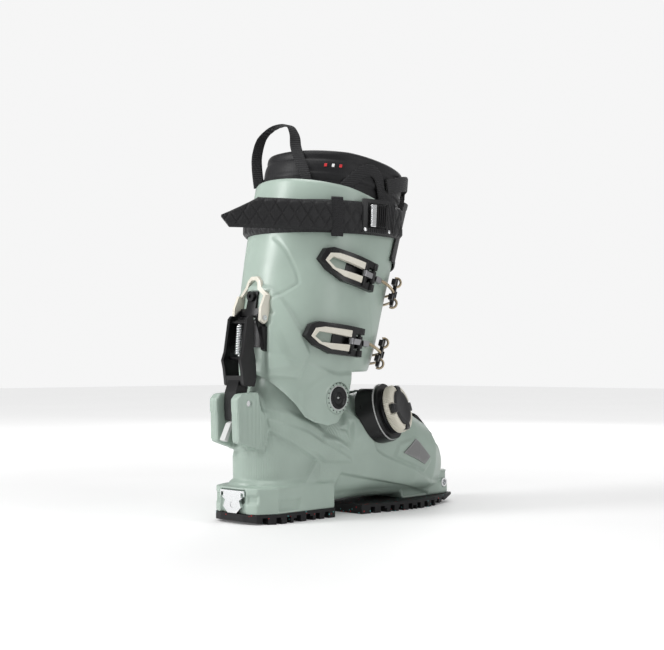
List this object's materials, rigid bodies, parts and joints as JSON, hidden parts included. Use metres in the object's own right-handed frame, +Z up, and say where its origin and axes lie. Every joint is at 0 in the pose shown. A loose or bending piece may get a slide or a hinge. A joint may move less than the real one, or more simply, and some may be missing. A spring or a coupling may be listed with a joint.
{
  "type": "ski boot",
  "caption": "Right touring ski boot with a pivoting cuff, lever buckles, lacing dial, walk-mode link, power strap and padded liner.",
  "frame": {"origin": "middle of the sole's length, on the ground", "axes": "+Y towards the toe, +X towards the outer side of a right boot, +Z up"},
  "size_m": [0.1439, 0.3085, 0.376],
  "materials": {
    "shell_green": "satin moulded polyurethane, sage green",
    "cuff_green": "satin moulded polyurethane, sage green",
    "black_plastic": "matt black moulding",
    "dark_grey": "satin dark grey moulding",
    "bone": "satin bone-coloured moulding",
    "sole_rubber": "matt rubber with coloured flecks",
    "steel": "polished steel",
    "bronze_wire": "bronzed wire",
    "barrel_grey": "satin grey",
    "strap_fabric": "quilted black fabric",
    "panel_fabric": "plain black fabric",
    "liner_fabric": "padded black fabric",
    "webbing": "ribbed black webbing",
    "badge_grey": "satin grey",
    "inner_grey": "plain",
    "pale_tab": "pale grey"
  },
  "bodies": {
    "shell": {"lower_shell": "shell_green", "instep_flap": "shell_green", "throat_gasket": "black_plastic", "boot_board": "inner_grey", "heel_sole": "sole_rubber", "toe_sole": "sole_rubber", "heel_insert": "steel", "heel_insert_screw": "steel", "toe_insert": "steel", "dial_base": "black_plastic", "dial_ring": "pale_tab", "dial_housing": "black_plastic", "lace_guide_toe": "black_plastic", "lace_guide_throat": "black_plastic", "side_badge": "badge_grey", "pivot_bushings": "inner_grey", "clevis_pin": "steel", "liner_foot": "liner_fabric", "footbed": "inner_grey"},
    "cuff": {"cuff_shell": "cuff_green", "cuff_flap": "cuff_green", "pivot_screws": "dark_grey", "pivot_rings": "cuff_green", "buckle_base_upper": "black_plastic", "buckle_base_lower": "black_plastic", "ladder_upper": "dark_grey", "ladder_lower": "dark_grey", "walk_bracket": "dark_grey", "walk_bolt": "black_plastic", "walk_pins": "steel", "power_strap": "strap_fabric", "strap_tail": "strap_fabric", "strap_keeper": "webbing", "strap_buckle": "dark_grey", "strap_front_panel": "panel_fabric", "liner_cuff": "liner_fabric", "liner_tongue": "liner_fabric", "rear_pull_loop": "webbing", "front_pull_loop": "webbing"},
    "upper_lever": {"lever_upper": "black_plastic", "lever_grip_upper": "bone"},
    "lower_lever": {"lever_lower": "black_plastic", "lever_grip_lower": "bone"},
    "upper_bail": {"bail_barrel_upper": "barrel_grey", "bail_wire_upper": "bronze_wire"},
    "lower_bail": {"bail_barrel_lower": "barrel_grey", "bail_wire_lower": "bronze_wire"},
    "walk_lever": {"walk_lever": "bone"},
    "walk_link": {"walk_link": "dark_grey", "link_spring": "steel", "link_tab": "pale_tab"},
    "dial_slider": {"dial_shaft": "steel"},
    "dial_knob": {"dial_knob": "bone", "dial_cap": "dark_grey", "dial_spool": "inner_grey"},
    "strap_cam": {"strap_cam": "steel"}
  },
  "joints": [
    {"name": "cuff_flex", "type": "hinge", "parent": "shell", "child": "cuff", "pos_m": [0, -0.054, 0.113], "axis": [-1, 0, 0], "range_deg": [-18, 9]},
    {"name": "link_swing", "type": "hinge", "parent": "shell", "child": "walk_link", "pos_m": [0, -0.139, 0.109], "axis": [-1, 0, 0], "range_deg": [-17, 9]},
    {"name": "walk_lever_flip", "type": "hinge", "parent": "cuff", "child": "walk_lever", "pos_m": [0, -0.1215, 0.187], "axis": [1, 0, 0], "range_deg": [0, 95]},
    {"name": "upper_lever_open", "type": "hinge", "parent": "cuff", "child": "upper_lever", "pos_m": [0.066, -0.02565, 0.22653], "axis": [0, 0.2588, 0.9659], "range_deg": [0, 140]},
    {"name": "upper_bail_swing", "type": "hinge", "parent": "upper_lever", "child": "upper_bail", "pos_m": [0.0672, -0.03724, 0.22964], "axis": [0, -0.2588, -0.9659], "range_deg": [0, 140]},
    {"name": "lower_lever_open", "type": "hinge", "parent": "cuff", "child": "lower_lever", "pos_m": [0.0605, -0.03809, 0.16464], "axis": [0, 0.1045, 0.9945], "range_deg": [0, 140]},
    {"name": "lower_bail_swing", "type": "hinge", "parent": "lower_lever", "child": "lower_bail", "pos_m": [0.0617, -0.05003, 0.1659], "axis": [0, -0.1045, -0.9945], "range_deg": [0, 140]},
    {"name": "dial_pull", "type": "slide", "parent": "shell", "child": "dial_slider", "axis": [0.9141, 0.3014, 0.2712], "range_m": [0, 0.003]},
    {"name": "dial_turn", "type": "hinge", "parent": "dial_slider", "child": "dial_knob", "pos_m": [0.041, 0.013, 0.096], "axis": [0.9141, 0.3014, 0.2712], "continuous": true},
    {"name": "strap_cam_open", "type": "hinge", "parent": "cuff", "child": "strap_cam", "pos_m": [0.0762, -0.038, 0.284], "axis": [0, 0, -1], "range_deg": [0, 60]}
  ],
  "couplings": [
    {"joint": "link_swing", "follows": "cuff_flex", "ratio": 0.92},
    {"joint": "upper_bail_swing", "follows": "upper_lever_open", "ratio": 1},
    {"joint": "lower_bail_swing", "follows": "lower_lever_open", "ratio": 1}
  ]
}
